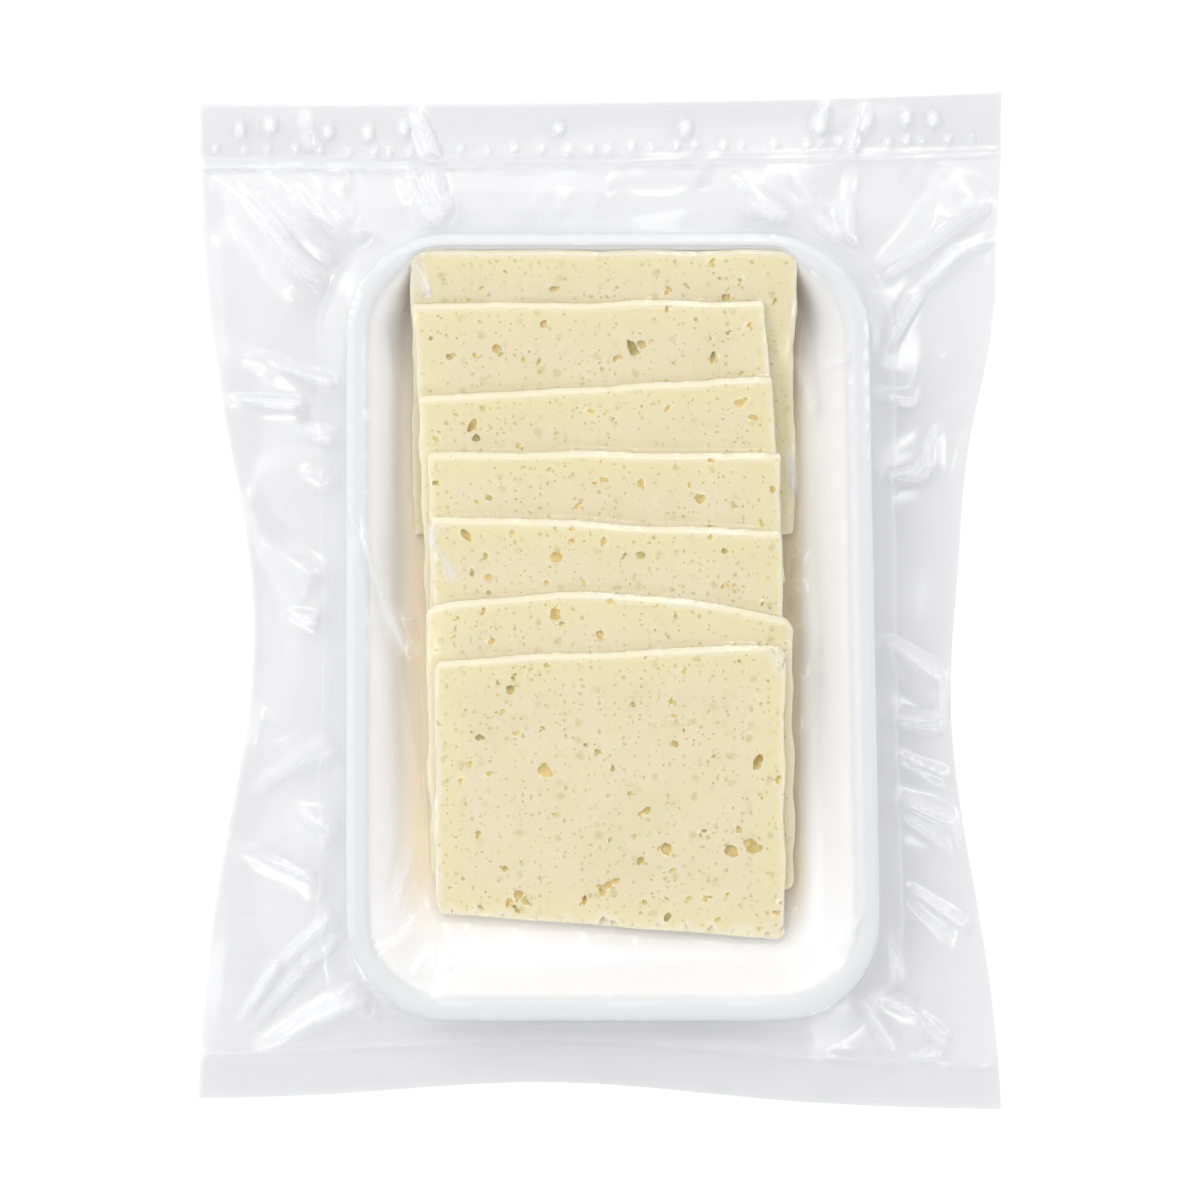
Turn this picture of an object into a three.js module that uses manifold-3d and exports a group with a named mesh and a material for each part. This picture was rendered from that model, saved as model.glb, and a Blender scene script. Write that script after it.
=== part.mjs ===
// A vacuum pack of sliced cheese, lying flat on its tray: a foam tray with seven shingled slices in a clear
// pouch that is waisted at the sides and sealed along both ends. The pack is shut, so it is one closed solid
// out to the film: tray foot, thin pouch margin, rim, the film's dip inside the rim and the stepped slices.
// Millimetres, +Z up. The origin is under the middle of the pouch at table height, +Y runs to the header seal.
import * as THREE from 'three';
import { ParametricGeometry } from 'three/addons/geometries/ParametricGeometry.js';
import { RoundedBoxGeometry } from 'three/addons/geometries/RoundedBoxGeometry.js';
import { mergeVertices } from 'three/addons/utils/BufferGeometryUtils.js';
import Module from 'manifold-3d';

const POUCH = { width: 200, length: 254, corner: 2 };
const WAISTS = [                     // how far each side draws in, where, and over what length
  { side: 1, depth: 12.6, y: -23, span: 62 },
  { side: -1, depth: 13.8, y: -8, span: 62 },
];
const HEADER_SKEW = 3.2;             // the header edge is this much lower at its left end than at its right
const HEADER_SAG = 1.2;
const FOOT_SKEW = 2.5;               // the bottom edge is this much higher at its left end
const FOOT_CURL = { rise: 5.4, x: -12, span: 52 };

const TRAY = { width: 130, length: 193.5, x: 2.5, y: -6.7, corner: 25, height: 20 };
const WALL_RUN = 13;                 // how far the tray's wall leans outward from foot to rim
const FOOT_ROUND = 1.4;
const RIM_WIDTH = 5.5;
const FILM = 0.5;                    // film height over the rim and the slices

const MARGIN = { join: 8.6, edge: 0.3, thick: 1.2 };   // underside heights at the tray and at the pouch edge
const MARGIN_STEPS = 5;
const FOLDS = { height: 1.1, count: 9 };               // folds that fan out from each corner of the tray

const SLICE = { length: 69, thick: 5, edge: 1.1 };     // thick reaches down into the filled tray
const SLICES = [                     // top edge's y, mid x, width and turn in degrees, from the back to the front
  { y: 85.7, x: 1.2, width: 95, turn: 0 },
  { y: 72.7, x: -1.8, width: 88.5, turn: 0.3 },
  { y: 52.3, x: -0.8, width: 88, turn: 2.2 },
  { y: 36.0, x: 0.5, width: 88, turn: 0.2 },
  { y: 18.2, x: 1.3, width: 87, turn: -2.4 },
  { y: 1.0, x: 2.7, width: 89, turn: -0.8 },
  { y: -13.8, x: 2.6, width: 87.5, turn: 2.2 },
];
const STACK = { halfX: 46, halfY: 83.5, x: 0.9, y: 2.2, corner: 4 };
const STACK_TOP = { height: 18.8, fall: 0.4, slope: 0.186, easing: 0.005 };   // first slice, then change per slice

const SIDE_STEPS = 16;
const END_STEPS = 12;
const CORNER_STEPS = 6;

// One walk round a rounded rectangle, anticlockwise from the foot of its right side. Every ring of the pack
// takes the same walk, so each place on one ring faces the same place on the next.
const WALK = [SIDE_STEPS, END_STEPS, SIDE_STEPS, END_STEPS].flatMap((steps, quarter) => [
  ...Array.from({ length: steps }, (_, i) => ({ quarter, along: i / steps, turn: 0 })),
  ...Array.from({ length: CORNER_STEPS }, (_, i) => ({ quarter, along: 1, turn: i / CORNER_STEPS })),
]);

function roundedRectangle({ quarter, along, turn }, halfX, halfY, radius) {
  const [reach, side] = quarter % 2 ? [halfY, halfX] : [halfX, halfY];
  const angle = turn * Math.PI / 2;
  const x = reach - radius + radius * Math.cos(angle);
  const y = (side - radius) * (2 * along - 1) + radius * Math.sin(angle);
  return new THREE.Vector2(x, y).rotateAround(new THREE.Vector2(), quarter * Math.PI / 2);
}

const bell = (value, middle, span) => Math.exp(-(((value - middle) / span) ** 2));

function pouchEdge(place) {
  const point = roundedRectangle(place, POUCH.width / 2, POUCH.length / 2, POUCH.corner);
  const across = point.x / (POUCH.width / 2);
  const end = Math.abs(point.y) / (POUCH.length / 2);
  const toLeft = (1 - across) / 2;
  const waist = WAISTS.find(({ side }) => side * across > 0) ?? WAISTS[0];
  if (point.y > 0) point.y -= end ** 4 * (HEADER_SKEW * toLeft + HEADER_SAG * (1 - across ** 2));
  else point.y += end ** 4 * (FOOT_SKEW * toLeft + FOOT_CURL.rise * bell(point.x, FOOT_CURL.x, FOOT_CURL.span));
  point.x -= waist.depth * across * Math.abs(across) * bell(point.y, waist.y, waist.span) * (1 - end ** 8);
  return point;
}

function trayRing(place, inset) {
  const radius = Math.max(TRAY.corner - inset, FOOT_ROUND);
  const point = roundedRectangle(place, TRAY.width / 2 - inset, TRAY.length / 2 - inset, radius);
  return point.add(new THREE.Vector2(TRAY.x, TRAY.y));
}

// Folds run outward from the tray's corners: the height swings with the bearing round the nearest corner.
function foldHeight(point, spread) {
  const cornerX = TRAY.x + Math.sign(point.x) * (TRAY.width / 2 - TRAY.corner);
  const cornerY = TRAY.y + Math.sign(point.y) * (TRAY.length / 2 - TRAY.corner);
  const bearing = Math.atan2(Math.abs(point.y - cornerY), Math.abs(point.x - cornerX));
  const near = bell(bearing, Math.PI / 4, Math.PI / 6);
  return FOLDS.height * near * spread * (1 - spread) * 4 * Math.sin(bearing * FOLDS.count);
}

// The two films of the margin lie together: they leave the tray's wall and sink to the table.
function marginPoint(place, spread, lift) {
  const point = trayRing(place, 0).lerp(pouchEdge(place), spread);
  const sink = MARGIN.edge + (MARGIN.join - MARGIN.edge) * (1 - spread) ** 1.7;
  const height = sink + Math.max(foldHeight(point, spread), -sink / 2) + lift;
  return new THREE.Vector3(point.x, point.y, height);
}

const trayPoint = (place, inset, height) => {
  const point = trayRing(place, inset);
  return new THREE.Vector3(point.x, point.y, height);
};

// The filled level under the slices follows them down from the header end, then runs out on the tray's floor.
const lastSlice = SLICES.at(-1);
const sliceTop = index => STACK_TOP.height - STACK_TOP.fall * index;
const sliceSlope = index => STACK_TOP.slope - STACK_TOP.easing * index;
const SUNK = 3;

function bedHeight(y) {
  const last = SLICES.length - 1;
  if (y < lastSlice.y) return sliceTop(last) - SUNK / 2 - sliceSlope(last) * (lastSlice.y - y);
  const share = (y - lastSlice.y) / (SLICES[0].y - lastSlice.y);
  return sliceTop(last) + share * (sliceTop(0) - sliceTop(last)) - SUNK;
}

function stackPoint(place, size) {
  const point = roundedRectangle(place, STACK.halfX * size, STACK.halfY * size, STACK.corner * size);
  point.add(new THREE.Vector2(STACK.x, STACK.y));
  return new THREE.Vector3(point.x, point.y, bedHeight(point.y));
}

const outward = Array.from({ length: MARGIN_STEPS }, (_, i) => (i + 1) / MARGIN_STEPS);
const rimTop = TRAY.height + FILM;
const RINGS = [                      // from the middle of the foot, out along the table, and back over the top
  () => new THREE.Vector3(TRAY.x, TRAY.y, 0),
  place => trayPoint(place, WALL_RUN + FOOT_ROUND, 0),
  place => trayPoint(place, WALL_RUN, FOOT_ROUND / 3),
  place => trayPoint(place, WALL_RUN - FOOT_ROUND, FOOT_ROUND * 1.6),
  place => marginPoint(place, 0, 0).lerp(trayPoint(place, WALL_RUN / 2, MARGIN.join), 0.6),
  ...outward.map(spread => place => marginPoint(place, spread, 0)),
  ...outward.toReversed().map(spread => place => marginPoint(place, spread, MARGIN.thick)),
  place => marginPoint(place, 0.05, MARGIN.thick + 1),
  place => trayPoint(place, 0, TRAY.height * 0.7),
  place => trayPoint(place, 0.2, rimTop - 1.6),
  place => trayPoint(place, 0.9, rimTop - 0.4),
  place => trayPoint(place, RIM_WIDTH / 2, rimTop),
  place => trayPoint(place, RIM_WIDTH, rimTop - 0.5),
  place => trayPoint(place, RIM_WIDTH, rimTop - 0.5).lerp(stackPoint(place, 1), 0.5)
    .sub(new THREE.Vector3(0, 0, 0.8)),
  place => stackPoint(place, 1),
  place => stackPoint(place, 0.8),
  place => stackPoint(place, 0.4),
  () => new THREE.Vector3(STACK.x, STACK.y, bedHeight(STACK.y)),
];

function packGeometry() {
  const skin = (u, v, target) => {
    const ring = RINGS[Math.round(v * (RINGS.length - 1))];
    target.copy(ring(WALK[Math.round(u * WALK.length) % WALK.length]));
  };
  return new ParametricGeometry(skin, WALK.length, RINGS.length - 1);
}

function sliceGeometry({ y, x, width, turn }, index) {
  const box = new RoundedBoxGeometry(width, SLICE.length, SLICE.thick, 2, SLICE.edge);
  box.translate(0, -SLICE.length / 2, -SLICE.thick / 2);
  box.rotateX(Math.atan(sliceSlope(index)));
  box.rotateZ(THREE.MathUtils.degToRad(turn));
  return box.translate(x, y, sliceTop(index) + FILM);
}

const wasm = await Module();
wasm.setup();

function toManifold(geometry) {
  const bare = geometry.clone();
  bare.deleteAttribute('normal');
  bare.deleteAttribute('uv');
  const merged = mergeVertices(bare, 1e-3);
  const corners = merged.index.array;
  const kept = [];
  for (let i = 0; i < corners.length; i += 3) {
    const [a, b, c] = corners.slice(i, i + 3);
    if (a !== b && b !== c && c !== a) kept.push(a, b, c);
  }
  const mesh = new wasm.Mesh({
    numProp: 3,
    vertProperties: new Float32Array(merged.attributes.position.array),
    triVerts: new Uint32Array(kept),
  });
  return new wasm.Manifold(mesh);
}

function fromManifold(solid) {
  const mesh = solid.getMesh();
  const geometry = new THREE.BufferGeometry();
  geometry.setAttribute('position', new THREE.BufferAttribute(mesh.vertProperties, 3));
  geometry.setIndex(new THREE.BufferAttribute(mesh.triVerts, 1));
  geometry.computeVertexNormals();
  return geometry;
}

const slabs = SLICES.map(sliceGeometry).map(toManifold);
const solid = slabs.reduce((whole, slab) => whole.add(slab), toManifold(packGeometry()));

const film = new THREE.MeshStandardMaterial({ color: 0xf0e6c8, roughness: 0.25, metalness: 0 });
const sealedPack = new THREE.Mesh(fromManifold(solid), film);
sealedPack.name = 'sealed_pack';

const group = new THREE.Group();
group.add(sealedPack);

export default group;
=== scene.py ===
"""The look of a vacuum pack of sliced cheese: film pouch, foam tray and seven shingled slices.

Every length is in metres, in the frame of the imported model. The slices are laid on the tray and on each
other, and the film is then drawn down over the real pieces, as the vacuum does it.
"""
import math

import bmesh
import bpy
import numpy as np
from bpy.props import FloatProperty, FloatVectorProperty, IntProperty, PointerProperty
from mathutils import Euler, Matrix, Vector
from mathutils.bvhtree import BVHTree


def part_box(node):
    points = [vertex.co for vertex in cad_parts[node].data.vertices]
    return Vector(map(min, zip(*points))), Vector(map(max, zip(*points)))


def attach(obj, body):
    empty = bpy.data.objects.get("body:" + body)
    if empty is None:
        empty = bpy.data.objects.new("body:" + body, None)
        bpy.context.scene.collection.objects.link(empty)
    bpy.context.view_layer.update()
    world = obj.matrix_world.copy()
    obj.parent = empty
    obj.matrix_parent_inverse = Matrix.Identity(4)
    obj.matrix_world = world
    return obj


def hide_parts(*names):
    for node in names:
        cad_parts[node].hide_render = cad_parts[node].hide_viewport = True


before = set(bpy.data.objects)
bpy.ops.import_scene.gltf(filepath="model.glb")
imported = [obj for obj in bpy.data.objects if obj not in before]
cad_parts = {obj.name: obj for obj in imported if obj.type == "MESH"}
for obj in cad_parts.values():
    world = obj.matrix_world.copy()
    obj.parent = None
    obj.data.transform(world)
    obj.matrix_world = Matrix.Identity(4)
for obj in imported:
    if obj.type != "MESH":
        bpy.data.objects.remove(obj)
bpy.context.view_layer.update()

bl_info = {
    "name": "Sliced Cheese Pack",
    "version": (1, 0, 0),
    "blender": (4, 5, 0),
    "location": "3D View > Sidebar > Cheese Pack",
    "description": "Builds a vacuum pouch with a foam tray and shingled slices of cheese",
    "category": "Add Mesh",
}

MM = 0.001
PACK = "sealed_pack"
LOW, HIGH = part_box(PACK)
HALF_WIDTH = (HIGH.x - LOW.x) / 2
HALF_LENGTH = (HIGH.y - LOW.y) / 2
RIM_TOP = HIGH.z - 0.5 * MM          # the film stands this much over the rim

# How the pouch's outline departs from a plain rectangle.
WAIST_RIGHT = {"depth": 12.6 * MM, "y": -23 * MM, "span": 62 * MM}
WAIST_RIGHT_UPPER = {"depth": 3.4 * MM, "y": 37 * MM, "span": 26 * MM}
WAIST_LEFT = {"depth": 13.8 * MM, "y": -8 * MM, "span": 62 * MM}
HEADER_SKEW = 3.2 * MM
HEADER_SAG = 1.2 * MM
FOOT_SKEW = 2.5 * MM
FOOT_CURL = {"rise": 5.4 * MM, "x": -12 * MM, "span": 52 * MM}
MARGIN_JOIN = 4.6 * MM               # height where the two films meet the tray's wall
MARGIN_EDGE = 0.7 * MM               # height of the pouch's outer edge
LEAST_BACK = 0.3 * MM                # the margin's back film never sinks under this height
BACK_MIDDLE = 0.05 * MM              # the back film's height under the middle of the tray

# The tray's upper side from the outer lip to the floor: how far in from the outline, and how high.
TRAY_AT = Vector((2.5 * MM, -6.7 * MM))
WALL_RUN = 13 * MM                   # how far in from the outline the wall reaches the floor
CUTS_ALONG_SIDE = 10
CUT_REACH = 1e-7                     # a cut joins corners that lie this close to it
STACK_MIDDLE = Vector((1 * MM, 0 * MM))
STACK_HALF = Vector((47 * MM, 85 * MM))
STACK_SHADE_STRETCH = 1.2                  # the painted shade and glow beside the stack reach less far at the header and the foot
BACK_DENT = 2.3 * MM                 # how far the back slice pushes the tray's wall out
TRAY_TAPER = 1.7 * MM                # the right side runs out towards the foot and in towards the header
TRAY_SECTION = [
    (0.0, -3.4), (0.15, -1.4), (0.7, -0.45), (1.7, 0.0), (3.4, 0.05), (4.8, -0.25), (5.7, -1.1),
    (6.5, -2.6), (9.6, -9.0), (12.2, -14.2), (13.4, -16.2), (15.2, -17.3), (17.5, -17.5),
]

BED_CELL = 0.6 * MM                  # grid on which the slices are laid
SEAT_DROP = 0.5 * MM                 # how far the back slice's top edge lies under the rim
RIM_GAP = 0.3 * MM                   # every slice stays this much lower than the rim
CHEESE_STIFFNESS = 4.5 * MM          # over what length a slice rounds off a kink
CHEESE_BEND = 2.0                    # how readily a slice bends to what is under it, in 1/m
DRAPE_ROUNDS = 260                   # enough for the film and the slices to settle
SLICE_CELL = 2.0 * MM                # spacing of a slice's cuts, fine enough to bend
SLICE_EDGE = 0.55 * MM               # how far a slice's edges are rounded
# Top edge's y, mid x and width, the slopes of the top and the foot edge in degrees, how far the sides lean
# (x gained for each unit of length), and how far the top edge bows up; from the back slice to the front one.
SLICES = [
    {"y": 85.3, "x": 0.9, "width": 94.8, "top": 0.0, "foot": 0.0, "lean": 0.0, "arch": 0.0},
    {"y": 72.6, "x": -3.0, "width": 87.0, "top": 0.4, "foot": 0.4, "lean": 0.08, "arch": 0.0},
    {"y": 52.0, "x": -1.0, "width": 87.6, "top": 3.2, "foot": 1.5, "lean": 0.03, "arch": 0.0},
    {"y": 35.6, "x": 1.0, "width": 86.8, "top": -0.2, "foot": -0.5, "lean": 0.015, "arch": 0.2},
    {"y": 18.1, "x": 1.6, "width": 86.4, "top": -2.6, "foot": -2.0, "lean": 0.02, "arch": 0.3},
    {"y": -1.6, "x": 2.2, "width": 90.4, "top": -1.9, "foot": -2.0, "lean": 0.015, "arch": 5.0,
     "corner": 2.4},
    {"y": -13.6, "x": 2.4, "width": 86.3, "top": 2.6, "foot": -4.4, "lean": 0.003, "arch": 0.6,
     "corner": 1.8, "stretch": 0.976},
]
# The main eyes of each slice, back to front: place in plan and radius, in millimetres.
MAIN_EYES = [
    [(-11.5, 76.5, 1.0), (34.5, 78.5, 0.8), (27.5, 83.0, 0.8), (31.0, 74.5, 1.2), (21.0, 77.5, 0.7)],
    [(8.0, 62.0, 1.9), (28.0, 59.5, 1.2), (23.5, 69.0, 0.6), (-37.0, 60.0, 0.9), (-14.0, 68.0, 1.0),
     (-25.5, 62.0, 1.2), (4.0, 59.5, 0.9), (0.5, 57.0, 0.6), (35.0, 56.0, 0.6)],
    [(-31.5, 43.0, 1.3), (-30.5, 40.0, 1.3), (16.5, 47.0, 0.9), (34.5, 48.5, 1.2), (-2.0, 46.5, 0.8),
     (-20.0, 38.0, 0.8)],
    [(-12.5, 32.0, 0.8), (1.5, 29.5, 0.8), (-5.5, 23.0, 1.0), (25.0, 25.0, 1.1), (40.0, 18.5, 0.7)],
    [(-33.0, 16.0, 1.5), (-21.5, 16.0, 0.8), (-28.0, 10.0, 0.8), (-31.5, 6.5, 0.7), (-27.5, 5.5, 0.8),
     (-11.0, 10.5, 1.7), (-7.0, 14.5, 0.8), (1.0, 14.5, 0.9), (6.0, 11.0, 0.7), (30.5, 3.5, 0.8)],
    [(-11.0, -3.5, 1.4), (-9.5, -6.0, 0.8), (-28.5, -2.5, 0.8), (-26.5, -10.5, 1.0), (-35.0, -4.5, 0.7),
     (0.0, -8.5, 0.9)],
    [(39.0, -40.0, 2.0), (11.5, -52.0, 1.2), (16.5, -61.5, 1.3), (32.5, -62.0, 1.4), (37.5, -61.0, 1.6),
     (10.0, -64.5, 1.1), (2.0, -70.5, 1.1), (0.5, -72.0, 1.1), (26.0, -74.0, 0.9), (22.0, -74.0, 0.8),
     (31.5, -73.0, 0.9), (17.5, -25.0, 0.8), (-13.5, -42.5, 1.6), (-20.5, -33.0, 0.8), (-14.0, -31.5, 0.7),
     (-22.0, -22.0, 1.1), (-21.0, -18.5, 0.7), (-25.0, -20.5, 0.7), (-34.5, -45.0, 0.8),
     (-27.5, -43.0, 0.7), (-23.5, -66.5, 0.9), (-20.2, -73.0, 1.3), (-22.5, -75.0, 1.1), (-18.5, -74.8, 0.9),
     (-20.5, -77.0, 1.0), (4.0, -69.5, 1.0), (-3.8, -74.4, 1.0), (43.6, -77.7, 0.8), (29.2, -79.3, 0.7),
     (-29.5, -76.5, 0.8)],
]
MAIN_EYE_SCALE = 1.15                # the main eyes open this much wider under the film
# Least and most radius of the scattered eyes.
LARGE_EYE, SMALL_EYE = (0.4 * MM, 1.1 * MM), (0.18 * MM, 0.38 * MM)
# Where the front slice is torn: place in plan and radius of each bite, in millimetres. The corner is chipped,
# and the foot edge is notched; the depths are in units of the radius.
CHIP_DEPTH, NOTCH_DEPTH = 0.35, 0.9
CHIPS = [(45.4, -12.6, 2.4), (43.0, -12.6, 1.4), (45.6, -15.6, 1.7), (41.2, -12.0, 0.9), (44.2, -16.9, 0.9)]
NOTCHES = [
    (-40.6, -76.4, 1.2), (-36.5, -77.3, 0.8), (-30.5, -77.7, 0.9), (-24.0, -78.2, 0.9), (-15.5, -78.9, 0.7),
    (-9.0, -79.3, 0.9), (1.2, -80.1, 1.7), (3.2, -80.4, 1.2), (8.0, -80.6, 0.7), (14.5, -81.0, 0.9),
    (21.5, -81.5, 0.8), (27.5, -81.9, 1.2), (33.0, -82.3, 0.8), (37.0, -82.6, 1.1), (41.5, -82.9, 1.0),
    (45.4, -82.6, 1.3),
]
# Dots in the cheese: cells in each metre, the share of them that hold one, its size in cells, its strength.
CHEESE_DOTS = [(210.0, 0.28, 0.26, 0.42), (480.0, 0.24, 0.28, 0.7), (820.0, 0.14, 0.28, 1.0)]
EDGE_STEP = 0.7 * MM                 # a rise between film corners that the film has to clear
FILM_SHINE = 0.055                   # share of light that both faces of the film mirror, seen square on
FILM_GRAZING = 0.3                   # what is added to that at a grazing view
FILM_HAZE = 0.02                     # share of light that the smooth film scatters
FILM_WHITENING_AND_HIGHLIGHT = 0.75                # what is added to that where the gleam is full: painted highlight, with some real whitening at sharp creases
FILM_PULL = {"tight": 675.0, "torn": 60.0, "loose": 12.0, "margin": 110.0}    # vacuum against tension, in 1/m
# The studio's sky: its least brightness, then what each band of heights (the sine of the elevation) adds
# towards the left, right, header and foot of the pack.
SKY_LEAST = 0.05
SKY_BANDS = [
    (0.86, 0.965, (0.5, 0.05, 1.1, 0.35)),
    (0.60, 0.86, (1.2, 0.05, 0.55, 0.5)),
    (0.0, 0.60, (0.6, 1.4, 0.7, 0.65)),
]
SKY_BLEND = 0.02                     # over what height two bands run into each other
STRIP_DISTANCE = 0.9
STRIP_LIGHTS = [(15, 0.85), (80, 0.8), (150, 0.9), (215, 0.75), (300, 0.8)]   # bearing in degrees, height
STRIP_SIZE, STRIP_POWER = (0.1, 0.9), 1.2
# The wide lights: name, place and power.
WIDE_LIGHTS = [("key_light", (-0.6, 0.53, 1.06), 5.6), ("top_light", (0, 0, 1.3), 3.1)]
WIDE_SIZE = (1.2, 1.2)
DIFFUSE_BOUNCES = 3                  # fewer darken the gaps beside the stack, and more take longer
FLOOR_DROP = 0.2 * MM                # the floor lies this much under the pack
FLOOR_HALF = 2.0
SENSOR_WIDTH = 36                    # in millimetres, as Blender's cameras have it
FAR_CLIP = 20
RAY_START = 0.1                      # height from which the pieces' tops are looked for


def bell(value, middle, span):
    return np.exp(-(((value - middle) / span) ** 2))


def ramp(value, start, end):
    """0 before start, 1 after end, and a smooth step between them."""
    t = np.clip((value - start) / (end - start), 0, 1)
    return t * t * (3 - 2 * t)


# ---------------------------------------------------------------- properties


def length_property(name, text, default):
    return FloatProperty(
        name=name, description=text, default=default, min=0, subtype="DISTANCE", unit="LENGTH"
    )


def colour_property(name, text, default):
    return FloatVectorProperty(
        name=name, description=text, default=default, size=3, min=0, max=1, subtype="COLOR"
    )


class CheesePackTray(bpy.types.PropertyGroup):
    width: length_property("Width", "Outer width of the tray's rim", 130 * MM)
    length: length_property("Length", "Outer length of the tray's rim", 193.5 * MM)
    corner: length_property("Corner", "Plan radius of the tray's corners", 25 * MM)
    wall: length_property("Wall", "Thickness of the foam", 2.3 * MM)
    # painted shade beside the stack, and painted warm light bounced from the cheese on its lit side
    stack_shade_colour: colour_property("Stack shade", "Colour of the foam close to the cheese", (0.66, 0.53, 0.33))
    stack_glow_colour: colour_property("Stack glow", "The same on the lit side of the stack", (1.0, 0.85, 0.64))
    colour: colour_property("Foam", "Colour of the foam", (0.97, 0.98, 0.995))


class CheesePackSlices(bpy.types.PropertyGroup):
    length: length_property("Length", "Length of a slice, from its top edge down", 69 * MM)
    thickness: length_property("Thickness", "Thickness of a slice", 2.9 * MM)
    corner: length_property("Corner", "Plan radius of a slice's corners", 0.8 * MM)
    small_eyes: IntProperty(name="Small eyes", description="Small eyes in a front slice", default=460, min=0)
    large_eyes: IntProperty(name="Large eyes", description="Wider eyes in a front slice", default=78, min=0)
    colour: colour_property("Cheese", "Colour of the cut face", (0.8, 0.712, 0.505))
    # painted shade and warm bounce light deep in the eyes
    eye_shade_colour: colour_property("Eyes", "Colour deep in the eyes", (0.8, 0.63, 0.24))
    spot_colour: colour_property("Spots", "Colour of the pin holes and buried eyes", (0.54, 0.47, 0.16))


class CheesePackFilm(bpy.types.PropertyGroup):
    thickness: length_property("Thickness", "Gap kept between the film and what it covers", 0.14 * MM)
    columns: IntProperty(name="Columns", description="Grid cells across the front film", default=274, min=20)
    rows: IntProperty(name="Rows", description="Grid cells along the front film", default=338, min=60)
    tint: colour_property("Tint", "What one film lets through", (0.965, 0.965, 0.97))


class CheesePackStage(bpy.types.PropertyGroup):
    view_width: length_property("View width", "Width of floor in the picture", 299.2 * MM)
    camera_height: length_property("Camera height", "Height of the camera over the floor", 1200 * MM)
    floor_colour: colour_property("Floor", "Colour of the floor", (0.93, 0.93, 0.93))


# ---------------------------------------------------------------- shared tools


def finish_piece(piece, smooth_angle=None):
    """The piece rides on the pack and stands for the CAD solid, which is hidden."""
    if smooth_angle is not None:
        piece.data.shade_smooth()
        piece.data.set_sharp_from_angle(angle=math.radians(smooth_angle))
    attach(piece, "root")
    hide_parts(PACK)


def write_attribute(mesh, name, values):
    """Gives every vertex its value, for the material to read by name."""
    layer = mesh.attributes.new(name, "FLOAT", "POINT")
    layer.data.foreach_set("value", np.ascontiguousarray(values, dtype=np.float32).ravel())


def cut_across(bm, axis, places):
    """Cuts the whole plate straight across at each place along the axis."""
    for place in places:
        point, normal = Vector((0, 0, 0)), Vector((0, 0, 0))
        point[axis], normal[axis] = place, 1
        parts = bm.verts[:] + bm.edges[:] + bm.faces[:]
        bmesh.ops.bisect_plane(bm, geom=parts, dist=CUT_REACH, plane_co=point, plane_no=normal)


def object_from(bm, name):
    mesh = bpy.data.meshes.new(name)
    bm.to_mesh(mesh)
    bm.free()
    piece = bpy.data.objects.new(name, mesh)
    bpy.context.scene.collection.objects.link(piece)
    return piece


def apply_modifiers(piece):
    """Bakes the piece's live modifiers into its mesh."""
    bpy.context.view_layer.update()
    evaluated = piece.evaluated_get(bpy.context.evaluated_depsgraph_get())
    mesh = bpy.data.meshes.new_from_object(evaluated)
    old = piece.data
    piece.modifiers.clear()
    piece.data = mesh
    bpy.data.meshes.remove(old)
    mesh.name = piece.name


def corner_array(mesh):
    places = np.empty(len(mesh.vertices) * 3)
    mesh.vertices.foreach_get("co", places)
    return places.reshape(-1, 3)


def set_corners(mesh, places):
    mesh.vertices.foreach_set("co", np.ascontiguousarray(places, dtype=np.float64).ravel())
    mesh.update()


def node(tree, kind, inputs=None, **settings):
    """Adds one shader node. An input given as another node's socket is linked, and any other is set."""
    made = tree.nodes.new("ShaderNode" + kind)
    for name, value in settings.items():
        setattr(made, name, value)
    for key, value in (inputs or {}).items():
        if isinstance(value, bpy.types.NodeSocket):
            tree.links.new(value, made.inputs[key])
        else:
            made.inputs[key].default_value = value
    return made


def blank_material(name):
    made = bpy.data.materials.new(name)
    made.use_nodes = True
    made.node_tree.nodes.clear()
    return made, made.node_tree


def rgba(colour):
    return (*colour, 1.0)


def shade(colour, *factors):
    """The colour times one factor, or times one for each channel."""
    factors = factors if len(factors) == 3 else factors * 3
    return rgba(min(1.0, c * k) for c, k in zip(colour, factors))


def output(tree, shader):
    node(tree, "OutputMaterial", {"Surface": shader.outputs[0]})


def step(tree, value, start, end, low=0.0, high=1.0):
    """A value mapped smoothly from start..end to low..high."""
    made = node(
        tree, "MapRange",
        {"Value": value, "From Min": start, "From Max": end, "To Min": low, "To Max": high},
        interpolation_type="SMOOTHSTEP",
    )
    return made.outputs["Result"]


def math_node(tree, operation, *values):
    return node(tree, "Math", dict(enumerate(values)), operation=operation).outputs[0]


def times(tree, first, second):
    return math_node(tree, "MULTIPLY", first, second)


def painted(tree, name):
    """The value that the mesh carries under this name."""
    return node(tree, "Attribute", attribute_name=name).outputs["Fac"]


def tinted(tree, share, base, tint):
    return node(tree, "Mix", {0: share, 6: base, 7: tint}, data_type="RGBA").outputs[2]


def noise(tree, where, scale, detail=3.0, rough=0.5):
    made = node(tree, "TexNoise", {"Vector": where, "Scale": scale, "Detail": detail, "Roughness": rough})
    return made.outputs["Fac"]


# ---------------------------------------------------------------- plan of the pouch and the tray


def pouch_plan(a, b):
    """Where point (a, b) of the flat sheet, each -1 to 1, lies once the vacuum has drawn the pouch in."""
    to_left = (1 - a) / 2
    end = np.abs(b) ** 4
    header = HEADER_SKEW * to_left + HEADER_SAG * (1 - a * a)
    foot = FOOT_SKEW * to_left + FOOT_CURL["rise"] * bell(a * HALF_WIDTH, FOOT_CURL["x"], FOOT_CURL["span"])
    y = b * HALF_LENGTH - end * np.where(b > 0, header, -foot)
    right, upper, left = (
        w["depth"] * bell(y, w["y"], w["span"]) for w in (WAIST_RIGHT, WAIST_RIGHT_UPPER, WAIST_LEFT)
    )
    right = right + upper
    waist = np.where(a > 0, right, left) * (1 - np.abs(b) ** 8)
    return a * HALF_WIDTH - a * np.abs(a) * waist, y


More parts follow.
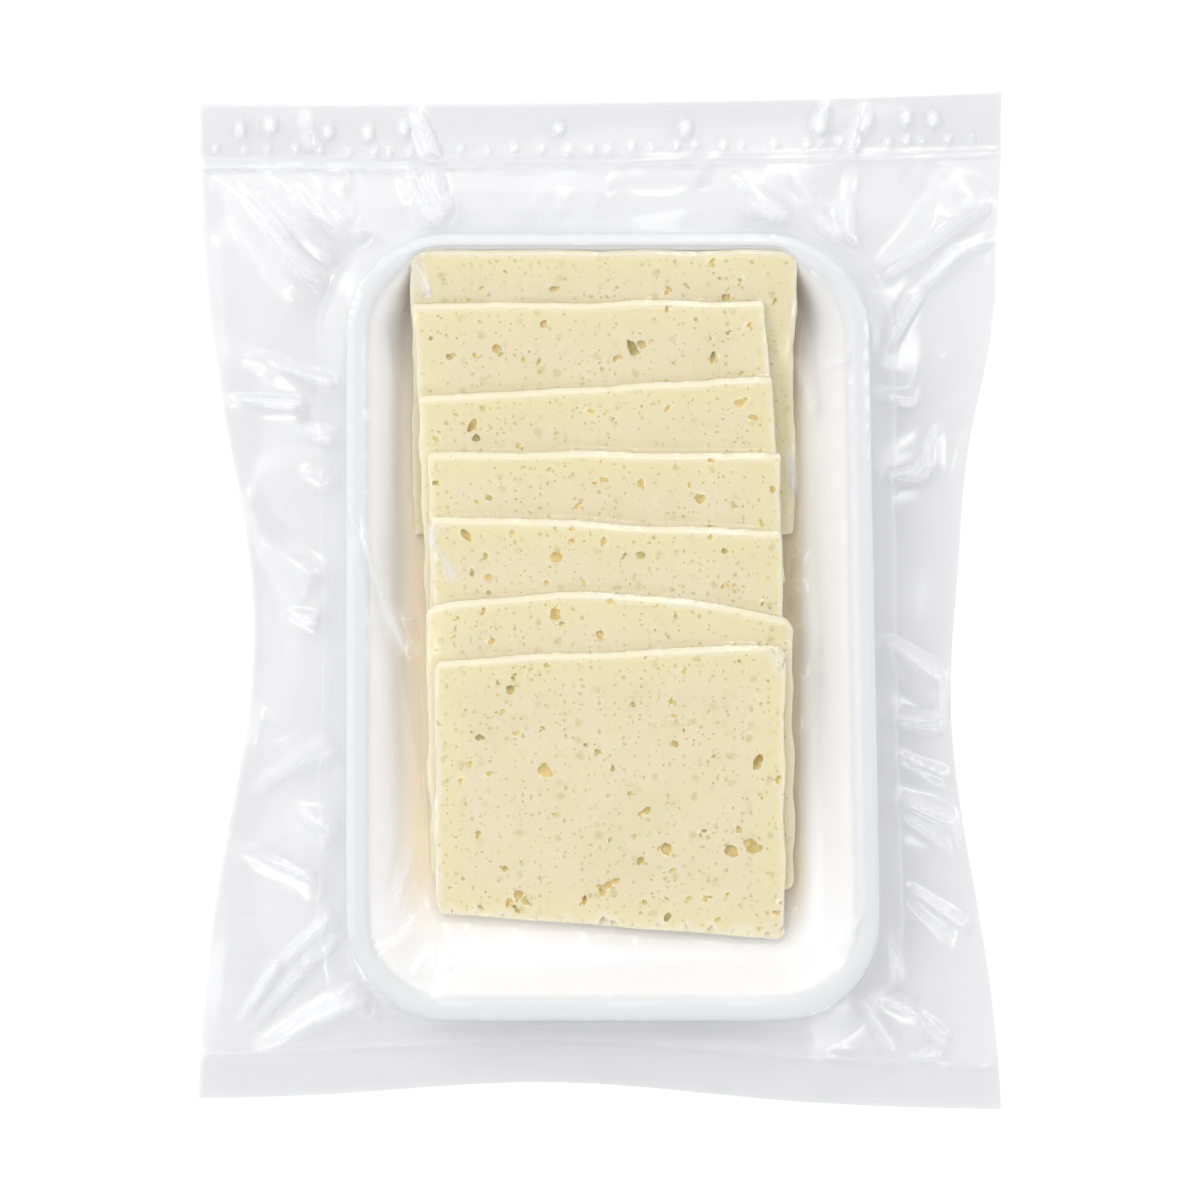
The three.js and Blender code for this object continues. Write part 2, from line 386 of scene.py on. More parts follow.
def taper(x, y, tray):
    """How far the tray's right side runs out at this place."""
    return TRAY_TAPER * ramp(x, -20 * MM, 60 * MM) * (TRAY_AT.y - y) / (tray.length / 2)


def tray_distance(x, y, tray):
    """How far a point lies outside the tray's outline in plan, and below zero how far inside."""
    x = x - taper(x, y, tray)
    side_x = np.abs(x - TRAY_AT.x) - (tray.width / 2 - tray.corner)
    side_y = np.abs(y - TRAY_AT.y) - (tray.length / 2 - tray.corner)
    outside = np.hypot(np.maximum(side_x, 0), np.maximum(side_y, 0))
    return outside + np.minimum(np.maximum(side_x, side_y), 0) - tray.corner


def drape(ground, pull, rounds):
    """A taut skin over the ground: each cell sinks to the mean of its neighbours less the pull.

    A coarser skin is found first, so that wide spans settle too.
    """
    pull = np.broadcast_to(pull, ground.shape)
    if min(ground.shape) < 40:
        skin = np.full(ground.shape, ground.max())
    else:
        coarse = drape(ground[::2, ::2], 4 * pull[::2, ::2], rounds)
        columns = np.minimum(np.arange(ground.shape[1]) / 2, coarse.shape[1] - 1)
        rows = np.minimum(np.arange(ground.shape[0]) / 2, coarse.shape[0] - 1)
        wide = np.array([np.interp(columns, np.arange(coarse.shape[1]), line) for line in coarse])
        skin = np.array([np.interp(rows, np.arange(coarse.shape[0]), line) for line in wide.T]).T
        skin = np.maximum(skin, ground)
    skin[[0, -1], :], skin[:, [0, -1]] = ground[[0, -1], :], ground[:, [0, -1]]
    sink = pull[1:-1, 1:-1]
    for _ in range(rounds):
        around = skin[2:, 1:-1] + skin[:-2, 1:-1] + skin[1:-1, 2:] + skin[1:-1, :-2]
        skin[1:-1, 1:-1] = np.maximum(around / 4 - sink, ground[1:-1, 1:-1])
    return skin


def blurred(heights, reach):
    """Heights averaged over about the given number of cells, which rounds every kink."""
    steps = np.arange(-int(2.5 * reach), int(2.5 * reach) + 1)
    kernel = np.exp(-0.5 * (steps / reach) ** 2)
    kernel /= kernel.sum()
    for axis in (0, 1):
        pad = [(len(steps) // 2, len(steps) // 2) if k == axis else (0, 0) for k in (0, 1)]
        wide = np.pad(heights, pad, mode="edge")
        heights = np.apply_along_axis(np.convolve, axis, wide, kernel, "valid")
    return heights


class HeightMap:
    """Heights on an even grid in plan, from which any place can be read."""

    def __init__(self, low, high, cell):
        self.low, self.cell = low, cell
        columns, rows = (int(math.ceil((h - l) / cell)) + 1 for h, l in zip(high, low))
        self.x, self.y = np.meshgrid(
            low[0] + cell * np.arange(columns), low[1] + cell * np.arange(rows), indexing="ij"
        )
        self.z = np.zeros_like(self.x)

    def read(self, x, y):
        i = np.clip((x - self.low[0]) / self.cell, 0, self.z.shape[0] - 1.001)
        j = np.clip((y - self.low[1]) / self.cell, 0, self.z.shape[1] - 1.001)
        i0, j0 = i.astype(int), j.astype(int)
        u, v = i - i0, j - j0
        z = self.z
        near = z[i0, j0] * (1 - v) + z[i0, j0 + 1] * v
        far = z[i0 + 1, j0] * (1 - v) + z[i0 + 1, j0 + 1] * v
        return near * (1 - u) + far * u


def top_heights(pieces, x, y, missed):
    """The height of the topmost piece over each place in plan."""
    trees = []
    for piece in pieces:
        bm = bmesh.new()
        bm.from_mesh(piece.data)
        trees.append(BVHTree.FromBMesh(bm))
        bm.free()
    down = Vector((0, 0, -1))
    heights = np.full(x.size, missed)
    for i, (px, py) in enumerate(zip(x.ravel(), y.ravel())):
        for tree in trees:
            hit = tree.ray_cast(Vector((px, py, RAY_START)), down)[0]
            if hit is not None and hit.z > heights[i]:
                heights[i] = hit.z
    return heights.reshape(x.shape)


# ---------------------------------------------------------------- foam tray


def foam_material(tray):
    made, tree = blank_material("white_foam")
    where = node(tree, "TexCoord").outputs["Object"]
    cells = node(tree, "TexVoronoi", {"Vector": where, "Scale": 900.0, "Randomness": 1.0})
    distance = cells.outputs["Distance"]
    patches = step(tree, noise(tree, where, 45.0, 2.0), 0.35, 0.7, 0.0, 0.5)
    colour = tinted(tree, patches, rgba(tray.colour), shade(tray.colour, 0.965))
    colour = tinted(tree, step(tree, distance, 0.35, 0.75, 0.0, 0.25), colour, shade(tray.colour, 0.95))
    spot = node(tree, "SeparateXYZ", {0: where}).outputs
    # painted shade: the same foam is drawn greyer towards the top of the rim
    rim_shade = step(tree, spot[2], RIM_TOP - 4 * MM, RIM_TOP - 0.5 * MM)
    colour = tinted(tree, rim_shade, colour, shade(tray.colour, 0.78))
    # painted shade and painted warm bounce light on the foam's upward inner face, low down and close to the
    # stack: brown shade on the shaded right side, a peach glow on the lit left side
    aside = []
    for k in (0, 1):
        offset = math_node(tree, "ABSOLUTE", math_node(tree, "SUBTRACT", spot[k], STACK_MIDDLE[k]))
        aside.append(math_node(tree, "SUBTRACT", offset, STACK_HALF[k]))
    aside[1] = times(tree, aside[1], STACK_SHADE_STRETCH)
    near = step(tree, math_node(tree, "MAXIMUM", *aside), -1 * MM, 7 * MM, 1.0, 0.0)
    near = times(tree, near, painted(tree, "inside"))
    near = times(tree, near, step(tree, spot[1], -90 * MM, -66 * MM, 0.1, 1.0))
    low = step(tree, spot[2], 8 * MM, 19 * MM, 1.0, 0.0)
    right = step(tree, spot[0], -20 * MM, 20 * MM)
    stack_shade = tinted(tree, right, rgba(tray.stack_glow_colour), rgba(tray.stack_shade_colour))
    colour = tinted(tree, times(tree, near, low), colour, stack_shade)
    height = math_node(tree, "ADD", distance, noise(tree, where, 260.0, 2.0))
    bump = node(tree, "Bump", {"Height": height, "Strength": 0.12, "Distance": 0.15 * MM})
    rough = step(tree, noise(tree, where, 120.0), 0.3, 0.7, 0.38, 0.5)
    shader = node(tree, "BsdfPrincipled", {
        "Base Color": colour, "Roughness": rough, "Normal": bump.outputs[0], "IOR": 1.45,
        "Subsurface Weight": 0.25, "Subsurface Radius": (1.0, 1.0, 1.0), "Subsurface Scale": 3.0 * MM,
    })
    output(tree, shader)
    return made


def build_tray(tray):
    """A rounded plate whose face is inset step by step down the tray's section, then given its wall."""
    bm = bmesh.new()
    bmesh.ops.create_grid(bm, x_segments=1, y_segments=1, size=1)
    bmesh.ops.scale(bm, vec=(tray.width / 2, tray.length / 2, 1), verts=bm.verts)
    bmesh.ops.bevel(bm, geom=bm.verts[:], offset=tray.corner, offset_type="OFFSET", segments=14,
                    affect="VERTICES", profile=0.5, material=-1)
    start_in, start_up = TRAY_SECTION[0]
    bmesh.ops.translate(bm, vec=(TRAY_AT.x, TRAY_AT.y, RIM_TOP + start_up * MM), verts=bm.verts)
    bm.faces.ensure_lookup_table()
    floor = bm.faces[0]
    if floor.normal.z < 0:
        floor.normal_flip()
    for inward, up in TRAY_SECTION[1:]:
        bmesh.ops.inset_region(bm, faces=[floor], thickness=(inward - start_in) * MM,
                               depth=(up - start_up) * MM, use_even_offset=True, use_boundary=True)
        start_in, start_up = inward, up
    for axis, reach in ((0, tray.width / 2 - tray.corner), (1, tray.length / 2 - tray.corner)):
        cut_across(bm, axis, [
            TRAY_AT[axis] + reach * (2 * k / CUTS_ALONG_SIDE - 1) for k in range(1, CUTS_ALONG_SIDE)
        ])
    piece = object_from(bm, "foam_tray")
    wall = piece.modifiers.new("wall", "SOLIDIFY")
    wall.thickness = tray.wall
    wall.offset = -1
    wall.use_even_offset = True
    smooth = piece.modifiers.new("smooth", "SUBSURF")
    smooth.levels = smooth.render_levels = 1
    apply_modifiers(piece)
    facing = np.empty(len(piece.data.vertices) * 3, dtype=np.float32)
    piece.data.vertices.foreach_get("normal", facing)
    write_attribute(piece.data, "inside", ramp(facing[2::3], 0.02, 0.2))
    places = corner_array(piece.data)
    inward = -tray_distance(places[:, 0], places[:, 1], tray)
    at_back = ramp(places[:, 1], 55 * MM, 70 * MM)
    beside = 1 - ramp(np.abs(places[:, 0] - SLICES[0]["x"] * MM), 44 * MM, 51 * MM)
    push = ramp(inward, 2.6 * MM, 5.4 * MM) * (1 - ramp(inward, 7.5 * MM, 14 * MM))
    places[:, 1] += BACK_DENT * at_back * beside * push
    places[:, 0] += taper(places[:, 0], places[:, 1], tray)
    set_corners(piece.data, places)
    piece.data.materials.append(foam_material(tray))
    return piece


# ---------------------------------------------------------------- slices of cheese


def cheese_material(slices):
    made, tree = blank_material("pale_cheese")
    where = node(tree, "TexCoord").outputs["Object"]
    base = slices.colour
    olive = rgba(slices.spot_colour)
    colour = rgba(base)
    # broad clouds, a fine grain and rosy patches, each with its scale, detail, reach, share and shade
    for scale, detail, start, end, share, factors in (
        (55.0, 4.0, 0.35, 0.68, 1.0, (0.97, 0.965, 0.93)),
        (420.0, 2.0, 0.45, 0.75, 0.5, (0.95, 0.95, 0.86)),
        (130.0, 2.0, 0.45, 0.7, 0.8, (1.01, 0.995, 1.03)),
    ):
        patches = step(tree, noise(tree, where, scale, detail), start, end, 0.0, share)
        colour = tinted(tree, patches, colour, shade(base, *factors))
    colour = tinted(tree, times(tree, painted(tree, "border"), 0.7), colour, shade(base, 1.03, 1.04, 0.88))
    # the dots are pulled about a little, so that none is round
    swirl = node(tree, "TexNoise", {"Vector": where, "Scale": 650.0, "Detail": 1.0}).outputs["Color"]
    shifted = node(tree, "VectorMath", {0: swirl, 1: (0.5, 0.5, 0.5)}, operation="SUBTRACT").outputs[0]
    reach = (1.2 * MM, 1.2 * MM, 0.0)
    shifted = node(tree, "VectorMath", {0: shifted, 1: reach}, operation="MULTIPLY").outputs[0]
    shifted = node(tree, "VectorMath", {0: where, 1: shifted}, operation="ADD").outputs[0]
    dots = []
    for scale, share, size, strength in CHEESE_DOTS:
        cells = node(tree, "TexVoronoi", {"Vector": shifted, "Scale": scale}, voronoi_dimensions="2D")
        pick = node(tree, "SeparateColor", {0: cells.outputs["Color"]})
        some = step(tree, pick.outputs[0], 1 - share, 1 - share + 0.02)
        round_ = step(tree, cells.outputs["Distance"], size * 0.4, size, 1.0, 0.0)
        dot = times(tree, round_, some)
        uneven = times(tree, dot, step(tree, pick.outputs[1], 0.0, 1.0, 0.25, 1.0))
        colour = tinted(tree, times(tree, uneven, strength), colour, olive)
        dots.append(dot)
    # cut edges and eyes carry their own shares on the mesh
    # painted highlight along the cut edges, where the rounded edge and the film over it catch the light; torn
    # places take the same lighter colour
    colour = tinted(tree, times(tree, painted(tree, "edge"), 0.9), colour, shade(base, 1.08, 1.12, 1.22))
    # painted shade with warm bounce light deep in the eyes, turning them ochre or olive
    kind = step(tree, noise(tree, where, 160.0, 1.0), 0.3, 0.55)
    inside = tinted(tree, kind, olive, rgba(slices.eye_shade_colour))
    colour = tinted(tree, times(tree, painted(tree, "eye"), 0.9), colour, inside)
    grain = math_node(tree, "ADD", noise(tree, where, 900.0, 3.0, 0.6), noise(tree, where, 260.0, 2.0))
    for dot in dots[1:]:
        grain = math_node(tree, "SUBTRACT", grain, dot)
    bump = node(tree, "Bump", {"Height": grain, "Strength": 0.3, "Distance": 0.14 * MM})
    rough = step(tree, noise(tree, where, 240.0), 0.3, 0.7, 0.34, 0.5)
    shader = node(tree, "BsdfPrincipled", {
        "Base Color": colour, "Roughness": rough, "Normal": bump.outputs[0], "IOR": 1.44,
        "Subsurface Weight": 0.45, "Subsurface Radius": (1.0, 0.85, 0.5), "Subsurface Scale": 2.2 * MM,
    })
    output(tree, shader)
    return made


def slice_place(spec, slices, x, y):
    """Turns a slice's own flat place, with its top edge at y = 0, into the pack's plan."""
    top, foot = (math.tan(math.radians(spec[key])) for key in ("top", "foot"))
    down = -y / slices.length
    bow = spec["arch"] * MM * (0.5 - (2 * x / (spec["width"] * MM)) ** 2)
    place_y = spec["y"] * MM + y * spec.get("stretch", 1) + bow * (1 - down) + x * (top + (foot - top) * down)
    return spec["x"] * MM + x - y * spec["lean"], place_y


def slice_spot(spec, slices, place_x, place_y):
    """The reverse of slice_place, found in a few steps."""
    x, y = place_x - spec["x"] * MM, place_y - spec["y"] * MM
    for _ in range(5):
        back_x, back_y = slice_place(spec, slices, x, y)
        x, y = x + place_x - back_x, y + place_y - back_y
    return x, y


def wobble(x, y, seed, size, reach):
    """A smooth, seeded unevenness of about the given size, with waves about as long as reach."""
    rng = np.random.default_rng(seed)
    total = np.zeros_like(x)
    for _ in range(5):
        bearing, phase = rng.uniform(0, 2 * math.pi, 2)
        wave = rng.uniform(0.6, 1.6) * 2 * math.pi / reach
        total += np.sin(wave * (x * math.cos(bearing) + y * math.sin(bearing)) + phase)
    return size * total / 2.5


def flat_slice(spec, slices):
    """A flat slab with rounded corners and softened edges, cut into a grid fine enough to bend."""
    bm = bmesh.new()
    bmesh.ops.create_grid(bm, x_segments=1, y_segments=1, size=0.5)
    bmesh.ops.scale(bm, vec=(spec["width"] * MM, slices.length, 1), verts=bm.verts)
    bmesh.ops.translate(bm, vec=(0, -slices.length / 2, 0), verts=bm.verts)
    corner = spec.get("corner", slices.corner / MM) * MM
    bmesh.ops.bevel(bm, geom=bm.verts[:], offset=corner, offset_type="OFFSET", segments=4,
                    affect="VERTICES", profile=0.5, material=-1)
    for axis, start, end in ((0, -spec["width"] * MM / 2, spec["width"] * MM / 2), (1, -slices.length, 0.0)):
        count = int((end - start) / SLICE_CELL)
        cut_across(bm, axis, [start + (end - start) * k / count for k in range(1, count)])
    made = bmesh.ops.extrude_face_region(bm, geom=bm.faces[:])
    moved = [g for g in made["geom"] if isinstance(g, bmesh.types.BMVert)]
    bmesh.ops.translate(bm, vec=(0, 0, -slices.thickness), verts=moved)
    bmesh.ops.recalc_face_normals(bm, faces=bm.faces)
    rims = [e for e in bm.edges if len(e.link_faces) == 2 and e.calc_face_angle() > 1.2
            and abs(e.verts[0].co.z - e.verts[1].co.z) < 0.1 * MM]
    bmesh.ops.bevel(bm, geom=rims, offset=SLICE_EDGE, offset_type="OFFSET", segments=3,
                    affect="EDGES", profile=0.5, material=-1)
    return bm


def eye_places(rng, count, sizes, area, taken):
    """Scatters eyes that keep clear of each other. sizes is the least and the most radius."""
    (x0, y0), (x1, y1) = area
    found = []
    tries = 0
    while len(found) < count and tries < count * 20:
        tries += 1
        radius = sizes[0] + (sizes[1] - sizes[0]) * rng.random() ** 2.2
        x, y = rng.uniform(x0, x1), rng.uniform(y0, y1)
        if all((x - px) ** 2 + (y - py) ** 2 > (1.6 * (radius + pr)) ** 2 for px, py, pr in taken):
            taken.append((x, y, radius))
            found.append((x, y, radius))
    return found


def eye_cutter(name, eyes, rng, surface, depth=1.0):
    """One mesh of uneven pebbles that cut the eyes out of a slice's face."""
    bm = bmesh.new()
    for x, y, radius in eyes:
        fine = 2 if radius > 0.5 * MM else 1
        made = bmesh.ops.create_icosphere(bm, subdivisions=fine, radius=1.0)["verts"]
        for vert in made:
            vert.co *= 1 + rng.uniform(-0.2, 0.2)
        deep = rng.uniform(0.55, 0.95) if radius > 1.1 * MM else rng.uniform(0.4, 0.75)
        shape = Matrix.Diagonal((radius * rng.uniform(0.7, 1.45), radius * rng.uniform(0.55, 1.05),
                                 radius * deep * depth, 1.0))
        turn = Euler((rng.uniform(-0.4, 0.4), rng.uniform(-0.4, 0.4), rng.uniform(0, 6.28))).to_matrix()
        height = float(surface(np.array([x]), np.array([y]))[0]) - radius * rng.uniform(-0.15, 0.15)
        place = Matrix.Translation((x, y, height)) @ turn.to_4x4() @ shape
        bmesh.ops.transform(bm, matrix=place, verts=made)
    return object_from(bm, name)


def cut_eyes(piece, cutter):
    cut = piece.modifiers.new("eyes", "BOOLEAN")
    cut.operation = "DIFFERENCE"
    cut.solver = "MANIFOLD"
    cut.object = cutter
    apply_modifiers(piece)
    mesh = cutter.data
    bpy.data.objects.remove(cutter)
    bpy.data.meshes.remove(mesh)


def mark_cheese(piece, spec, slices, surface):
    """Writes how near each vertex is to a cut edge and how deep it lies in an eye: the material paints a
    highlight along the cut edges and shade deep in the eyes.
    """
    places = corner_array(piece.data)
    x, y = slice_spot(spec, slices, places[:, 0], places[:, 1])
    to_side = spec["width"] * MM / 2 - np.abs(x)
    to_end = np.minimum(-y, slices.length + y)
    inward = np.minimum(to_side, to_end)
    # painted highlight along the cut edges
    edge = 1 - ramp(inward, 0.3 * MM, 1.8 * MM)
    depth = surface(places[:, 0], places[:, 1]) - places[:, 2]
    eye = ramp(depth, 0.02 * MM, 0.35 * MM) * ramp(inward, 0.6 * MM, 1.0 * MM)
    eye *= depth < slices.thickness * 0.9
    if spec is SLICES[-1]:
        for bite_x, bite_y, radius in CHIPS + NOTCHES:
            away = np.hypot(places[:, 0] - bite_x * MM, places[:, 1] - bite_y * MM)
            torn = 1 - ramp(away, (radius + 0.3) * MM, (radius + 1.0) * MM)
            eye *= 1 - torn
            edge = np.maximum(edge, torn)
    border = 1 - ramp(inward, 1.0 * MM, 11 * MM)
    for name, values in (("edge", edge * (1 - eye)), ("eye", eye), ("border", border)):
        write_attribute(piece.data, name, values)


def build_slice(index, spec, slices, bed):
    """Lays one slice on what is under it, bends it to that, cuts its eyes, and raises the bed by it."""
    half = spec["width"] * MM / 2
    own_x, own_y = slice_spot(spec, slices, bed.x, bed.y)
    inside_x = np.clip(own_x, -half, half)
    inside_y = np.clip(own_y, -slices.length, 0)
    ground = bed.read(*slice_place(spec, slices, inside_x, inside_y))
    if index == 0:
        seat = RIM_TOP - SEAT_DROP - slices.thickness
        ground = np.where(inside_y > -1.5 * MM, seat, np.minimum(ground, seat))
    under = HeightMap(bed.low, (bed.x[-1, 0], bed.y[0, -1]), bed.cell)
    taut = drape(ground, CHEESE_BEND * bed.cell ** 2, DRAPE_ROUNDS)
    under.z = blurred(taut, CHEESE_STIFFNESS / bed.cell)
    under.z = np.minimum(under.z, RIM_TOP - slices.thickness - RIM_GAP)

    def surface(x, y):
        return under.read(x, y) + slices.thickness

    piece = object_from(flat_slice(spec, slices), f"slice_{index + 1}")
    places = corner_array(piece.data)
    flat_x, flat_y = places[:, 0], places[:, 1]
    shift_x = wobble(flat_x, flat_y, 40 + index, 0.3 * MM, 24 * MM)
    shift_y = wobble(flat_x, flat_y, 60 + index, 0.25 * MM, 28 * MM)
    shift_x += wobble(flat_x, flat_y, 80 + index, 0.12 * MM, 6 * MM)
    shift_y += wobble(flat_x, flat_y, 90 + index, 0.12 * MM, 6 * MM)
    end = ramp(flat_y, -0.6 * MM, 0)
    shift_y += 0.75 * MM * end
    places[:, 2] -= np.where(places[:, 2] > -1 * MM, 0.6 * MM * end, 0)
    x, y = slice_place(spec, slices, flat_x + shift_x, flat_y + shift_y)
    places = np.stack([x, y, surface(x, y) + places[:, 2]], axis=1)
    set_corners(piece.data, places)

    rng = np.random.default_rng(700 + index)
    shown = slices.length if index == len(SLICES) - 1 else min(
        slices.length, (spec["y"] - SLICES[index + 1]["y"]) * MM + 5 * MM)
    share = shown / slices.length
    area = ((-half, -shown), (half, 0.0))
    main = []
    for x, y, radius in MAIN_EYES[index]:
        spot_x, spot_y = slice_spot(spec, slices, x * MM, y * MM)
        main.append((float(spot_x), float(spot_y), MAIN_EYE_SCALE * radius * MM))
    taken = list(main)
    large = eye_places(rng, round(slices.large_eyes * share), LARGE_EYE, area, taken)
    small = eye_places(rng, round(slices.small_eyes * share), SMALL_EYE, area, taken)
    first, second = [], []
    for x, y, radius in main + large + small:
        at_x, at_y = (float(v) for v in slice_place(spec, slices, x, y))
        first.append((at_x, at_y, radius))
        if radius > 0.5 * MM and rng.random() < 0.75:
            bearing, reach = rng.uniform(0, 2 * math.pi), radius * rng.uniform(0.9, 1.25)
            second.append((at_x + reach * math.cos(bearing), at_y + reach * math.sin(bearing),
                           radius * rng.uniform(0.4, 0.75)))
    cut_eyes(piece, eye_cutter("eye_cutter", first, rng, surface))
    cut_eyes(piece, eye_cutter("eye_cutter", second, rng, surface))
    if index == len(SLICES) - 1:
        for bites, depth in ((CHIPS, CHIP_DEPTH), (NOTCHES, NOTCH_DEPTH)):
            bites = [(x * MM, y * MM, radius * MM) for x, y, radius in bites]
            cut_eyes(piece, eye_cutter("tear_cutter", bites, rng, surface, depth))
    mark_cheese(piece, spec, slices, surface)

    covered = (np.abs(own_x) < half) & (own_y < 0) & (own_y > -slices.length)
    bed.z = np.where(covered, np.maximum(bed.z, under.z + slices.thickness), bed.z)
    return piece


# ---------------------------------------------------------------- film pouch


def film_material(film):
    """Clear film: it tints what is behind it a little and mirrors the lights at its folds."""
    made, tree = blank_material("clear_film")
    where = node(tree, "TexCoord").outputs["Object"]
    stretched = node(tree, "Mapping", {"Vector": where, "Scale": (1.0, 1.7, 1.0)}).outputs[0]
    ridged = node(tree, "TexNoise", {"Vector": stretched, "Scale": 60.0, "Detail": 1.0, "Roughness": 0.4},
                  noise_type="RIDGED_MULTIFRACTAL").outputs["Fac"]
    patchy = step(tree, noise(tree, where, 22.0, 2.0), 0.42, 0.68, 0.15, 1.0)
    crinkle = times(tree, ridged, patchy)
    bump = node(tree, "Bump", {"Height": crinkle, "Strength": 0.06, "Distance": 0.5 * MM})
    tint = tinted(tree, painted(tree, "weld"), rgba(film.tint), shade(film.tint, 0.985))
    clear = node(tree, "BsdfTransparent", {"Color": tint})
    gloss = node(tree, "BsdfGlossy", {"Color": (1, 1, 1, 1), "Roughness": 0.15, "Normal": bump.outputs[0]})
    haze = node(tree, "BsdfDiffuse", {"Color": (0.9, 0.9, 0.93, 1), "Normal": bump.outputs[0]})
    facing = node(tree, "LayerWeight", {"Blend": 0.5, "Normal": bump.outputs[0]}).outputs["Facing"]
    grazing = math_node(tree, "POWER", facing, 5.0)
    mirror = math_node(tree, "MULTIPLY_ADD", grazing, FILM_GRAZING, FILM_SHINE)
    # painted highlight on the folds' lit flanks and crests, the seams and the pips, with some real whitening
    # at sharp creases: the film scatters white where its gleam is
    white_and_highlight = math_node(tree, "MULTIPLY_ADD", painted(tree, "gleam"), FILM_WHITENING_AND_HIGHLIGHT, FILM_HAZE)
    skin = node(tree, "MixShader", {0: white_and_highlight, 1: clear.outputs[0], 2: haze.outputs[0]})
    whole = node(tree, "MixShader", {0: mirror, 1: skin.outputs[0], 2: gloss.outputs[0]})
    output(tree, whole)
    return made


GLEAM = 2.8                          # how much painted highlight and whitening a fold gets for its slope
CREST_ROUND = 0.6 * MM               # how far a crest is rounded over
LEAST_FLANK = 1.1 * MM               # no flank is narrower, so that the film's grid can carry it
RANDOM_FOLDS = {"count": 80, "area": ((-96, -112), (96, 106)), "gleam_share": 0.3}
# The larger folds of the pouch, each with its two ends in millimetres, how wide and how high it stands, and
# how far its crest leans to one side (-1 to 1).
FOLDS = [
    # header corners and the fold zone over the tray's top left corner
    (-93.5, 106.2, -70.5, 76.5, 6.0, 2.0, 0.4), (-88.0, 104.5, -66.0, 84.0, 3.0, 0.8, -0.3),
    (-82.0, 105.5, -61.0, 89.0, 2.5, 0.6, 0.2), (-74.0, 106.0, -58.0, 90.0, 2.0, 0.5, 0.0),
    (-50.0, 107.5, -40.5, 90.5, 3.2, 1.2, 0.4), (-45.0, 108.0, -38.5, 93.0, 2.4, 0.9, -0.3),
    (-41.5, 107.0, -37.5, 96.0, 1.6, 0.6, 0.2), (31.4, 107.7, 47.0, 95.5, 1.8, 0.7, 0.0),
    (32.7, 100.7, 44.0, 94.3, 3.0, 1.1, 0.3), (47.0, 107.5, 60.0, 89.0, 2.4, 0.6, 0.2),
    (63.0, 108.0, 62.0, 88.0, 2.4, 0.7, 0.3), (69.0, 80.5, 97.0, 102.0, 6.5, 2.4, -0.4),
    (71.0, 62.0, 79.0, 76.5, 2.2, 0.8, 0.0), (78.0, 75.0, 90.0, 87.5, 2.4, 0.9, 0.2),
    (89.0, 86.5, 99.0, 90.3, 2.0, 0.7, 0.2),
    # left margin
    (-92.0, 63.0, -64.0, 52.0, 4.0, 0.9, 0.4), (-93.0, 50.0, -74.0, 48.5, 3.6, 1.3, 0.3),
    (-78.0, 44.0, -66.0, 40.0, 2.0, 0.6, 0.0), (-75.0, 32.0, -66.0, 29.0, 2.0, 0.5, 0.0),
    (-87.0, 15.0, -70.0, 5.0, 6.0, 1.1, 0.5), (-78.0, -4.0, -70.0, -6.0, 2.4, 0.8, 0.0),
    (-88.0, -48.0, -64.0, -36.0, 4.0, 0.9, -0.3), (-76.0, -52.0, -66.0, -58.0, 3.5, 1.1, 0.3),
    (-93.0, -60.0, -68.0, -73.0, 2.0, 0.6, 0.4), (-90.5, -105.5, -80.0, -90.0, 1.8, 0.7, 0.2),
    (-81.0, -91.5, -66.0, -79.0, 2.4, 0.8, 0.3), (-88.0, -106.0, -74.0, -92.0, 2.0, 0.6, -0.2),
    (-75.0, -93.0, -64.0, -82.0, 2.4, 0.7, -0.3), (-85.0, -111.7, -57.0, -99.0, 8.0, 2.8, 0.15),
    # right margin
    (71.0, 51.0, 79.0, 50.0, 2.0, 0.6, 0.0), (72.0, 31.0, 79.0, 32.0, 2.0, 0.6, 0.2),
    (72.0, 31.3, 82.0, 31.3, 1.8, 0.7, 0.0), (84.0, 43.0, 82.0, 31.0, 3.0, 0.9, 0.0),
    (70.0, -10.0, 89.0, -22.0, 7.0, 2.2, 0.4), (72.0, -29.0, 87.0, -31.0, 3.0, 1.0, -0.3),
    (72.0, -37.0, 90.0, -45.0, 2.4, 0.9, 0.3), (73.0, -49.5, 92.0, -57.0, 5.5, 1.9, 0.4),
    (75.0, -70.0, 92.0, -83.0, 5.0, 1.2, 0.4), (67.0, -97.0, 78.0, -102.0, 2.2, 0.9, -0.3),
    (77.0, -101.0, 87.0, -110.5, 2.4, 1.0, -0.2), (63.0, -122.0, 86.0, -113.0, 3.2, 1.1, 0.3),
    (62.0, -96.0, 74.0, -112.0, 2.0, 0.6, 0.0), (70.0, -78.0, 75.0, -95.0, 1.8, 0.6, 0.0),
    # foot margin
    (-40.0, -117.0, -20.0, -117.5, 4.0, 0.8, 0.4), (6.0, -108.0, 40.0, -112.0, 5.0, 0.7, 0.3),
]
# Folds pressed flat in the header's weld, in the same form.
WELD_FOLDS = [
    (-46.0, 123.5, -41.0, 109.5, 3.0, 1.0, 0.3), (56.5, 124.5, 55.5, 116.5, 2.2, 0.7, -0.3),
    (66.0, 124.0, 62.0, 110.0, 1.6, 0.5, 0.0), (-74.0, 122.0, -71.0, 112.0, 1.8, 0.5, 0.2),
]
